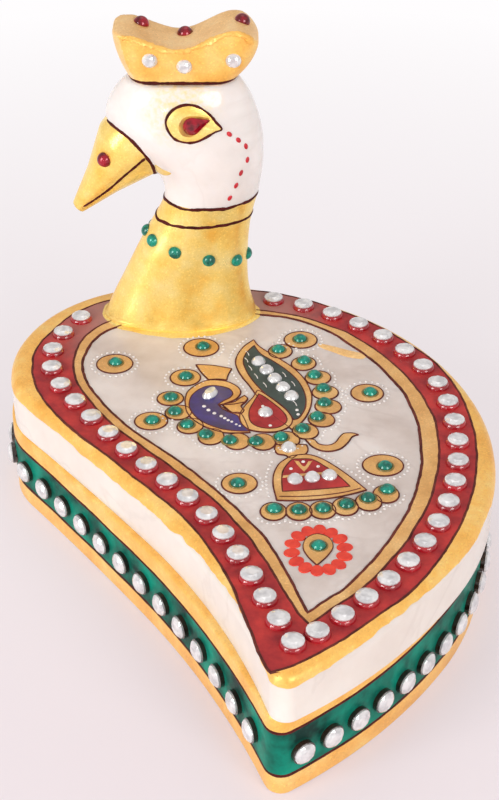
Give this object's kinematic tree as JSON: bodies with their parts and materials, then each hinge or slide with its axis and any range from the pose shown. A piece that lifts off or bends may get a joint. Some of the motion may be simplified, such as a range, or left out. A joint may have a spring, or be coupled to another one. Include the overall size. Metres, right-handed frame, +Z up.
{
  "type": "kumkum box",
  "caption": "Mango-shaped marble box with powder wells; its lid, carrying a bird's neck, head and crest, swivels on a rod under the neck. Gold paint and set glass stones.",
  "frame": {"origin": "on the table, under the middle of the lid's length and width", "axes": "+Z up; -Y towards the mango's tip, which faces the viewer; -X the way the bird's beak points"},
  "size_m": [0.1002, 0.1269, 0.0965],
  "materials": {
    "painted_marble_base": "polished white marble with green and gold painted bands round its wall",
    "painted_marble_lid": "polished white marble with painted red and gold borders and a painted peacock",
    "painted_marble_bird": "polished white marble head on a gold-painted neck, with a gold-painted beak",
    "gilt_marble_crest": "marble covered with grainy gold paint",
    "brass": "plain turned brass",
    "dark_lac": "dark glossy lac",
    "clear_glass": "foil-backed clear glass stones",
    "green_glass": "foil-backed green glass domes",
    "red_glass": "foil-backed red glass domes"
  },
  "bodies": {
    "base": {"base_body": "painted_marble_base", "pivot_washer": "brass", "stud_lac_beds": "dark_lac", "stud_stones": "clear_glass"},
    "lid": {"lid_slab": "painted_marble_lid", "bird": "painted_marble_bird", "crest": "gilt_marble_crest", "pivot_rod": "brass", "pivot_nut": "brass", "lid_border_stones": "clear_glass", "neck_green_stones": "green_glass", "beak_red_stones": "red_glass", "eye_stones": "red_glass", "crest_clear_stones": "clear_glass", "crest_red_stones": "red_glass", "roundel_green_stones": "green_glass", "tail_green_stones": "green_glass", "fringe_green_stones": "green_glass", "flower_green_stone": "green_glass", "wing_clear_stones": "clear_glass", "bell_clear_stones": "clear_glass", "drop_clear_stone": "clear_glass", "pendant_clear_stone": "clear_glass", "peacock_head_stone": "clear_glass"}
  },
  "joints": [
    {"name": "lid_swivel", "type": "hinge", "parent": "base", "child": "lid", "pos_m": [-0.0136, 0.0498, 0.0184], "axis": [0, 0, 1], "continuous": true}
  ]
}
